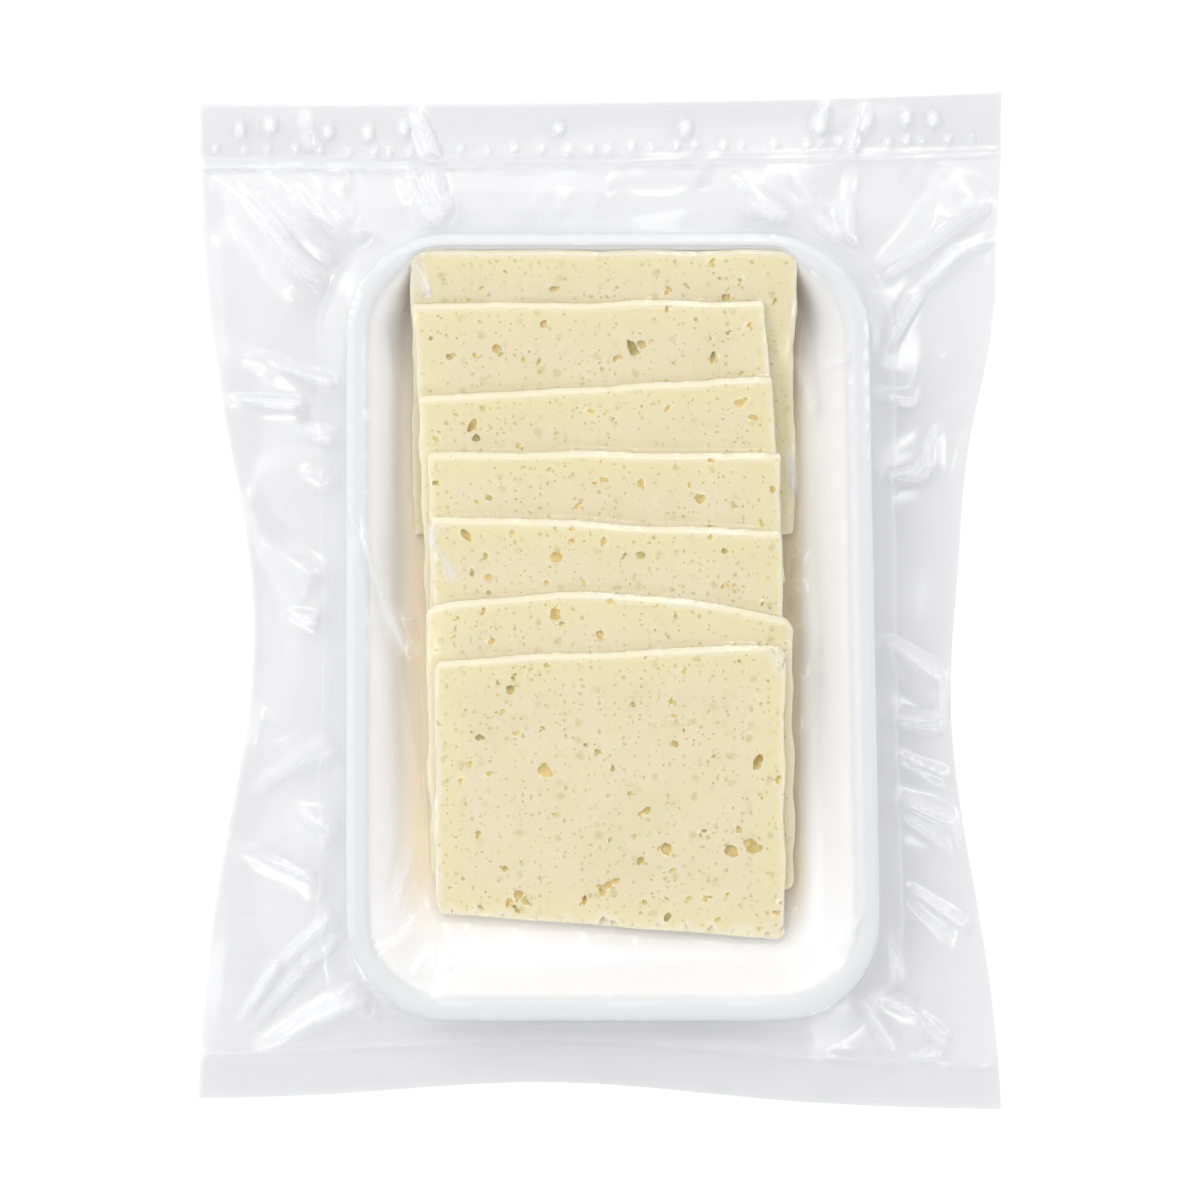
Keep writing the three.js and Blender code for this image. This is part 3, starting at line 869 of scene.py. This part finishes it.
# Creases of the film where it spans the tray, in the same form.
TRAY_CREASES = [
    (-63.5, 27.2, -48.6, -12.8, 2.2, 0.7, 0.3), (54.0, 58.5, 61.0, 58.5, 1.6, 0.5, 0.2),
    (48.9, 61.7, 53.0, 44.4, 1.8, 0.5, -0.3), (-41.2, -83.5, -47.0, -92.0, 1.8, 0.8, 0.3),
    (-33.5, -82.0, -40.5, -90.5, 2.6, 0.9, -0.4), (-44.0, -76.0, -50.5, -83.0, 1.6, 0.6, 0.2),
    (-49.5, -82.4, -56.0, -85.0, 1.4, 0.5, 0.2), (-63.0, -81.5, -60.5, -91.0, 1.5, 0.5, 0.0),
    (-61.0, -89.5, -51.0, -101.0, 1.5, 0.5, 0.0), (55.0, -91.0, 64.5, -77.0, 1.8, 0.5, 0.2),
    (-46.7, 86.0, -42.3, 73.5, 1.5, 0.6, 0.3), (-41.6, 20.0, -41.2, 13.0, 1.1, 0.4, 0.0),
    (-41.4, 14.0, -35.6, 4.5, 1.5, 0.5, 0.3), (-40.3, -16.0, -39.8, -79.0, 1.2, 0.12, 0.0),
    (46.5, 40.0, 48.5, 26.0, 1.2, 0.4, 0.0), (-46.0, -60.0, -50.5, -74.0, 1.4, 0.4, 0.2),
]
# The header's weld is pressed with a row of small pips and a few larger ones above them.
WELD_DEPTH = 14.8 * MM
HEADER_SEAM = {"rise": 0.45 * MM, "span": 0.7 * MM, "dip": 0.3 * MM, "dip_at": 1.4 * MM, "dip_span": 0.6 * MM}
WELD_PIPS = {"down": 11.6 * MM, "pitch": 6.1 * MM, "half_width": 0.7 * MM, "half_height": 1.2 * MM}
WELD_BLISTERS = (-89.8, -82.3, -68.0, -57.9, -49.0, -10.5, 21.0, 54.4, 66.2, 76.0, 82.8)
BLISTER_DOWN = 6.4 * MM
PIP_RELIEF, PIP_GLEAM_SIZE = 0.35, 0.3 * MM
BLISTER_RELIEF, BLISTER_GLEAM = 0.1 * MM, 1.4
FOOT_WELD = 11.6 * MM
FOOT_SEAM = {"rise": 0.42 * MM, "span": 0.8 * MM}


def fold_shape(x, y, fold):
    """A crest with two flat flanks, narrow at its start and blunt at its end: its height and its gleam, a
    painted highlight mostly on the steeper flank and the crest.
    """
    x0, y0, x1, y1, width, height, lean = (v * MM for v in fold)
    lean /= MM
    along_x, along_y = x1 - x0, y1 - y0
    length = math.hypot(along_x, along_y)
    along = ((x - x0) * along_x + (y - y0) * along_y) / length ** 2
    across = ((x - x0) * along_y - (y - y0) * along_x) / length
    fade = ramp(along, -0.08, 0.3) * (1 - ramp(along, 0.85, 1.06))
    flank = width * np.where(across > 0, 1 + lean, 1 - lean) * (0.4 + 0.6 * np.clip(along, 0, 1))
    flank = np.maximum(flank, LEAST_FLANK)
    crest = np.sqrt(across ** 2 + CREST_ROUND ** 2) - CREST_ROUND
    flat = np.clip(1 - crest / flank, 0, 1)
    steep = across * (-1 if lean > 0 else 1)
    # painted highlight: the steeper flank is drawn whiter than the other, and the crest whiter still
    white_and_highlight = np.where(steep > 0, 0.7, 0.25) * flat ** 0.6 + 0.35 * bell(across, 0, 0.8 * MM)
    white_and_highlight *= (0.45 + 0.55 * np.clip(along, 0, 1)) * fade * min(1, GLEAM * height / width)
    return height * fade * flat, white_and_highlight


def random_folds(rng, count, area):
    (x0, y0), (x1, y1) = area
    made = []
    for _ in range(count):
        x, y = rng.uniform(x0, x1), rng.uniform(y0, y1)
        bearing = math.atan2(y - TRAY_AT.y / MM, x - TRAY_AT.x / MM) + rng.normal(0, 0.4)
        length = rng.uniform(8, 30)
        width = rng.uniform(2.0, 6.0)
        made.append((x, y, x + length * math.cos(bearing), y + length * math.sin(bearing),
                     width, width * rng.uniform(0.06, 0.16), rng.uniform(-0.6, 0.6)))
    return made


def margin_height(a, b, x, y, tray):
    """How high the two films of the margin lie: they leave the tray's wall and sink to the table."""
    from_tray = np.maximum(tray_distance(x, y, tray), 0)
    to_edge = np.minimum((1 - np.abs(a)) * HALF_WIDTH, (1 - np.abs(b)) * HALF_LENGTH)
    spread = from_tray / np.maximum(from_tray + to_edge, 1e-6)
    return MARGIN_EDGE + (MARGIN_JOIN - MARGIN_EDGE) * (1 - spread) ** 1.7


def film_plan(columns, rows):
    """Sheet coordinates and places of a grid of film, in the order that the grid operator lays its corners.

    The rows lie closer in the header's weld and over the slices' top edges, where the relief is finest.
    """
    fine = np.linspace(-1, 1, 4001)
    y = fine * HALF_LENGTH
    crowd = 1 + 1.2 * ramp(y, HALF_LENGTH - 19 * MM, HALF_LENGTH - 15 * MM)
    for spec in SLICES:
        reach = (3 + 0.5 * abs(spec["top"]) + 0.3 * spec["arch"]) * MM
        crowd = np.maximum(crowd, 1 + 1.4 * (1 - ramp(np.abs(y - spec["y"] * MM), reach, reach + 2 * MM)))
    total = np.concatenate([[0], np.cumsum(crowd[:-1] + crowd[1:])])
    down = np.interp(np.linspace(0, total[-1], rows + 1), total, fine)
    b, a = np.meshgrid(down, np.linspace(-1, 1, columns + 1), indexing="ij")
    x, y = pouch_plan(a, b)
    return a, b, x, y


def film_sheet(name, columns, rows, x, y, z):
    bm = bmesh.new()
    bmesh.ops.create_grid(bm, x_segments=columns, y_segments=rows, size=1)
    piece = object_from(bm, name)
    set_corners(piece.data, np.stack([x.ravel(), y.ravel(), z.ravel()], axis=1))
    piece.data.shade_smooth()
    return piece


def crumple(x, y, seed, slope, reach):
    """Flat facets that meet at straight creases: several folded strips laid over each other."""
    rng = np.random.default_rng(seed)
    total = np.zeros_like(x)
    for _ in range(7):
        bearing, phase = rng.uniform(0, math.pi, 2)
        wave = math.pi / (reach * rng.uniform(0.6, 1.7))
        turn = wave * (x * math.cos(bearing) + y * math.sin(bearing)) + phase
        total += slope / wave * (0.6 - np.abs(np.sin(turn)))
    return total


def film_folds(x, y):
    """The creases of the margins and those that stand over the tray, each with its gleam: a painted
    highlight, with some real whitening at the creases.
    """
    warp_x = x + wobble(x, y, 5, 0.6 * MM, 34 * MM)
    warp_y = y + wobble(x, y, 6, 0.6 * MM, 34 * MM)
    margin, gleam = np.zeros_like(x), np.zeros_like(x)
    rng = np.random.default_rng(31)
    for fold in FOLDS + random_folds(rng, RANDOM_FOLDS["count"], RANDOM_FOLDS["area"]):
        height, white_and_highlight = fold_shape(warp_x, warp_y, fold)
        margin += height
        gleam = np.maximum(gleam, white_and_highlight if fold in FOLDS else white_and_highlight * RANDOM_FOLDS["gleam_share"])
    patchy = ramp(wobble(x, y, 12, 1.0, 60 * MM), -0.5, 0.9)
    margin += crumple(warp_x, warp_y, 14, 0.016, 22 * MM) * (0.4 + 0.8 * patchy)
    over_tray, tray_gleam = np.zeros_like(x), np.zeros_like(x)
    for fold in TRAY_CREASES:
        height, white_and_highlight = fold_shape(warp_x * 0.3 + x * 0.7, warp_y * 0.3 + y * 0.7, fold)
        over_tray += height
        tray_gleam = np.maximum(tray_gleam, white_and_highlight)
    return [blurred(part, 0.75) for part in (margin, gleam, over_tray, tray_gleam)]


def pip(x, down, middle, drop, half_width, half_height):
    return np.exp(-((x - middle) / half_width) ** 2 - ((down - drop) / half_height) ** 2)


def weld_relief(a, x, y):
    """The welds across the header and the foot: each place's share in them, its relief and its gleam, a
    painted highlight along the seams and on the pips and blisters.
    """
    down = pouch_plan(a, np.ones_like(a))[1] - y
    up = y - pouch_plan(a, -np.ones_like(a))[1]
    header = 1 - ramp(down, WELD_DEPTH - 1.2 * MM, WELD_DEPTH + 1.0 * MM)
    foot = 1 - ramp(up, FOOT_WELD - 1.0 * MM, FOOT_WELD + 1.2 * MM)
    seam = HEADER_SEAM
    relief = seam["rise"] * bell(down, WELD_DEPTH, seam["span"])
    relief = relief - seam["dip"] * bell(down, WELD_DEPTH + seam["dip_at"], seam["dip_span"])
    stronger = 0.5 + 0.5 * (1 - ramp(x, -55 * MM, -42 * MM))
    relief += FOOT_SEAM["rise"] * bell(up, FOOT_WELD, FOOT_SEAM["span"]) * stronger
    gleam = (0.7 - 0.4 * ramp(x, -48 * MM, -42 * MM)) * bell(down, WELD_DEPTH + 0.9 * MM, 0.6 * MM)
    gleam += 0.3 * bell(up, FOOT_WELD, 0.7 * MM)
    rng = np.random.default_rng(3)
    middle = -HALF_WIDTH + 4 * MM
    while middle < HALF_WIDTH - 4 * MM:
        drop = WELD_PIPS["down"] + rng.uniform(-0.5, 0.5) * MM
        size = rng.uniform(0.15, 0.36) * MM
        shape = pip(x, down, middle, drop, WELD_PIPS["half_width"], WELD_PIPS["half_height"])
        relief += PIP_RELIEF * size * shape
        gleam = np.maximum(gleam, size / PIP_GLEAM_SIZE * shape)
        middle += WELD_PIPS["pitch"] * rng.uniform(0.6, 1.35)
    for middle in WELD_BLISTERS:
        wide, tall = rng.uniform(0.8, 1.4) * MM, rng.uniform(1.4, 2.6) * MM
        shape = pip(x, down, middle * MM, BLISTER_DOWN + rng.uniform(-1, 1) * MM, wide, tall)
        relief += BLISTER_RELIEF * shape
        gleam = np.maximum(gleam, BLISTER_GLEAM * shape)
    for fold in WELD_FOLDS:
        height, white_and_highlight = fold_shape(x, y, fold)
        relief += height
        gleam = np.maximum(gleam, white_and_highlight)
    return np.maximum(header, foot), relief, np.minimum(gleam, 1)


def widen(heights):
    """The highest of each cell and its eight neighbours, so that the film clears every edge."""
    padded = np.pad(heights, 1, mode="edge")
    rows, columns = heights.shape
    shifts = [padded[i:i + rows, j:j + columns] for i in range(3) for j in range(3)]
    return np.max(shifts, axis=0)


def soft_floor(heights, least, reach=0.25 * MM):
    """Heights that level out towards the least one and never pass under it."""
    return least + np.logaddexp(0, (heights - least) / reach) * reach


def build_film(film, tray, contents):
    """The front film is drawn down over the contents and creased; the back film closes the pouch below.

    The contents are the tray and then the slices.
    """
    a, b, x, y = film_plan(film.columns, film.rows)
    margin = margin_height(a, b, x, y, tray)
    outside = tray_distance(x, y, tray)
    folds, fold_gleam, creases, crease_gleam = film_folds(x, y)
    weld, relief, weld_gleam = weld_relief(a, x, y)
    side = np.minimum(1 - np.abs(a), 1 - np.abs(b)) * HALF_WIDTH
    loose = ramp(outside, 1 * MM, 6 * MM) * ramp(side, 0.0, 5 * MM)
    swell = wobble(x, y, 9, 0.6 * MM, 45 * MM)
    off_edge = ramp(side, 0, 1 * MM)
    back = margin + swell * loose * (1 - 0.7 * weld) + folds * loose * (1 - 0.85 * weld) + relief * off_edge
    back = soft_floor(back, LEAST_BACK)

    on_tray = top_heights(contents[:1], x, y, 0.0)
    on_cheese = top_heights(contents[1:], x, y, 0.0)
    contents_top = np.maximum(on_tray, on_cheese)
    wide = widen(contents_top)
    ground = np.maximum(np.where(wide - contents_top > EDGE_STEP, wide, contents_top), back)
    tight = widen(widen((on_cheese > on_tray).astype(float)))
    strength = np.where(tight > 0, FILM_PULL["tight"], FILM_PULL["loose"])
    strength = np.where(outside > 0, FILM_PULL["margin"], strength)
    for bite_x, bite_y, radius in CHIPS + NOTCHES:
        near = np.hypot(x - bite_x * MM, y - bite_y * MM) < (radius + 0.5) * MM
        strength = np.where(near, FILM_PULL["torn"], strength)
    cell = 2 * HALF_LENGTH / film.rows
    skin = drape(ground, strength * cell ** 2, DRAPE_ROUNDS)
    free = loose * (1 - weld)
    over_tray = ramp(-outside, -3 * MM, 2 * MM)
    apart = film.thickness * (1 + 2 * free) + 0.2 * folds * free
    front = skin + np.maximum(apart, 0.6 * film.thickness) + creases * over_tray
    front = np.where(side < 1e-9, back, front)      # the pouch's edge is sealed

    inside = np.clip(-outside / WALL_RUN, 0, 1)
    under_tray = BACK_MIDDLE + (MARGIN_JOIN - BACK_MIDDLE) * (1 - inside) ** 1.3
    back = np.where(outside < 0, under_tray, back)
    # the gleam is painted highlight on the folds, welds and creases over the tray, partly real crease
    # whitening
    gleam = np.max([fold_gleam * free, weld_gleam * off_edge, crease_gleam * over_tray], axis=0)

    material = film_material(film)
    top = film_sheet("film_front", film.columns, film.rows, x, y, front)
    half = np.s_[::2, ::2]
    under = film_sheet("film_back", film.columns // 2, film.rows // 2, x[half], y[half], back[half])
    under.data.flip_normals()
    for sheet, pick in ((top, np.s_[:, :]), (under, half)):
        write_attribute(sheet.data, "gleam", gleam[pick])
        write_attribute(sheet.data, "weld", weld[pick])
        sheet.data.materials.append(material)
    return top, under


# ---------------------------------------------------------------- stage


def area_light(name, place, size, power):
    """A soft light that faces the middle of the stage."""
    light = bpy.data.lights.new(name, "AREA")
    light.shape = "RECTANGLE"
    light.size, light.size_y = size
    light.energy = power
    lamp = bpy.data.objects.new(name, light)
    lamp.location = place
    lamp.rotation_euler = (Vector((0, 0, 0)) - Vector(place)).to_track_quat("-Z", "Y").to_euler()
    bpy.context.scene.collection.objects.link(lamp)
    return lamp


def sky_strength(sky):
    """Brightness of the sky in each direction, from its bands."""
    x, y, up = node(sky, "SeparateXYZ", {0: node(sky, "TexCoord").outputs["Generated"]}).outputs
    level = math_node(sky, "ADD", times(sky, x, x), times(sky, y, y))
    level = math_node(sky, "MAXIMUM", level, 1e-5)
    shares = []
    for part, sign in ((x, -1.0), (x, 1.0), (y, 1.0), (y, -1.0)):
        side = math_node(sky, "MAXIMUM", times(sky, part, sign), 0.0)
        shares.append(math_node(sky, "DIVIDE", times(sky, side, side), level))
    total = SKY_LEAST
    for low, high, sides in SKY_BANDS:
        band = times(sky, step(sky, up, low - SKY_BLEND, low + SKY_BLEND),
                         step(sky, up, high - SKY_BLEND, high + SKY_BLEND, 1.0, 0.0))
        for share, strength in zip(shares, sides):
            part = times(sky, times(sky, band, share), strength)
            total = math_node(sky, "ADD", part, total)
    return total


def build_stage(stage):
    scene = bpy.context.scene
    bm = bmesh.new()
    bmesh.ops.create_grid(bm, x_segments=1, y_segments=1, size=FLOOR_HALF)
    floor = object_from(bm, "floor")
    set_corners(floor.data, corner_array(floor.data) - np.array([0, 0, FLOOR_DROP]))
    made, tree = blank_material("pale_floor")
    where = node(tree, "TexCoord").outputs["Object"]
    patches = step(tree, noise(tree, where, 8.0), 0.3, 0.7, 0.0, 0.3)
    colour = tinted(tree, patches, rgba(stage.floor_colour), shade(stage.floor_colour, 0.99))
    output(tree, node(tree, "BsdfPrincipled", {"Base Color": colour, "Roughness": 0.7}))
    floor.data.materials.append(made)

    # the two wide lights are left out of the film's mirror images, which come from the strips and the sky
    for name, place, power in WIDE_LIGHTS:
        area_light(name, place, WIDE_SIZE, power).visible_glossy = False
    for bearing, height in STRIP_LIGHTS:
        turn = math.radians(bearing)
        place = (STRIP_DISTANCE * math.cos(turn), STRIP_DISTANCE * math.sin(turn), height)
        area_light(f"strip_light_{bearing}", place, STRIP_SIZE, STRIP_POWER)
    world = bpy.data.worlds.new("studio")
    world.use_nodes = True
    sky = world.node_tree
    sky.nodes.clear()
    shine = node(sky, "Background", {"Color": (1, 1, 1, 1), "Strength": sky_strength(sky)})
    node(sky, "OutputWorld", {"Surface": shine.outputs[0]})
    scene.world = world

    lens = bpy.data.cameras.new("camera")
    lens.sensor_width = SENSOR_WIDTH
    lens.lens = SENSOR_WIDTH * stage.camera_height / stage.view_width
    lens.clip_end = FAR_CLIP
    camera = bpy.data.objects.new("camera", lens)
    middle = (LOW + HIGH) / 2
    camera.location = (middle.x, middle.y, stage.camera_height)
    scene.collection.objects.link(camera)
    scene.camera = camera
    scene.cycles.diffuse_bounces = DIFFUSE_BOUNCES
    scene.view_settings.view_transform = "Standard"


# ---------------------------------------------------------------- operators and panel


class CHEESEPACK_OT_stage(bpy.types.Operator):
    """Lay the floor and set the lights and the camera"""
    bl_idname = "cheesepack.stage"
    bl_label = "Stage"

    def execute(self, context):
        build_stage(context.scene.cheesepack_stage)
        return {"FINISHED"}


class CHEESEPACK_OT_tray(bpy.types.Operator):
    """Build the foam tray"""
    bl_idname = "cheesepack.tray"
    bl_label = "Foam tray"

    def execute(self, context):
        finish_piece(build_tray(context.scene.cheesepack_tray), 40)
        return {"FINISHED"}


class CHEESEPACK_OT_slices(bpy.types.Operator):
    """Lay the slices of cheese on the tray and on each other"""
    bl_idname = "cheesepack.slices"
    bl_label = "Slices"

    def execute(self, context):
        slices, tray = context.scene.cheesepack_slices, context.scene.cheesepack_tray
        low = (TRAY_AT.x - tray.width / 2, TRAY_AT.y - tray.length / 2)
        high = (TRAY_AT.x + tray.width / 2, TRAY_AT.y + tray.length / 2)
        bed = HeightMap(low, high, BED_CELL)
        bed.z = top_heights([bpy.data.objects["foam_tray"]], bed.x, bed.y, 0.0)
        material = cheese_material(slices)
        for index, spec in enumerate(SLICES):
            piece = build_slice(index, spec, slices, bed)
            piece.data.materials.clear()
            piece.data.materials.append(material)
            finish_piece(piece, 35)
        return {"FINISHED"}


class CHEESEPACK_OT_film(bpy.types.Operator):
    """Draw the film pouch down over the tray and the slices"""
    bl_idname = "cheesepack.film"
    bl_label = "Film pouch"

    def execute(self, context):
        names = ["foam_tray"] + [f"slice_{i + 1}" for i in range(len(SLICES))]
        contents = [bpy.data.objects[name] for name in names]
        scene = context.scene
        for sheet in build_film(scene.cheesepack_film, scene.cheesepack_tray, contents):
            finish_piece(sheet)
        return {"FINISHED"}


class CHEESEPACK_PT_panel(bpy.types.Panel):
    bl_idname = "CHEESEPACK_PT_panel"
    bl_label = "Sliced Cheese Pack"
    bl_space_type = "VIEW_3D"
    bl_region_type = "UI"
    bl_category = "Cheese Pack"

    def draw(self, context):
        for group, operator in BUILD_ORDER:
            box = self.layout.box()
            settings = getattr(context.scene, group)
            for name in settings.bl_rna.properties.keys():
                if name not in {"rna_type", "name"}:
                    box.prop(settings, name)
            box.operator(operator)


BUILD_ORDER = [
    ("cheesepack_stage", "cheesepack.stage"),
    ("cheesepack_tray", "cheesepack.tray"),
    ("cheesepack_slices", "cheesepack.slices"),
    ("cheesepack_film", "cheesepack.film"),
]
GROUPS = {
    "cheesepack_stage": CheesePackStage,
    "cheesepack_tray": CheesePackTray,
    "cheesepack_slices": CheesePackSlices,
    "cheesepack_film": CheesePackFilm,
}
CLASSES = [
    *GROUPS.values(),
    CHEESEPACK_OT_stage,
    CHEESEPACK_OT_tray,
    CHEESEPACK_OT_slices,
    CHEESEPACK_OT_film,
    CHEESEPACK_PT_panel,
]


def register():
    for cls in CLASSES:
        bpy.utils.register_class(cls)
    for name, group in GROUPS.items():
        setattr(bpy.types.Scene, name, PointerProperty(type=group))


def unregister():
    for name in GROUPS:
        delattr(bpy.types.Scene, name)
    for cls in reversed(CLASSES):
        bpy.utils.unregister_class(cls)


def main():
    register()
    bpy.ops.cheesepack.stage()
    bpy.ops.cheesepack.tray()
    bpy.ops.cheesepack.slices()
    bpy.ops.cheesepack.film()
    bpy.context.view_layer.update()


if __name__ == "__main__":
    main()
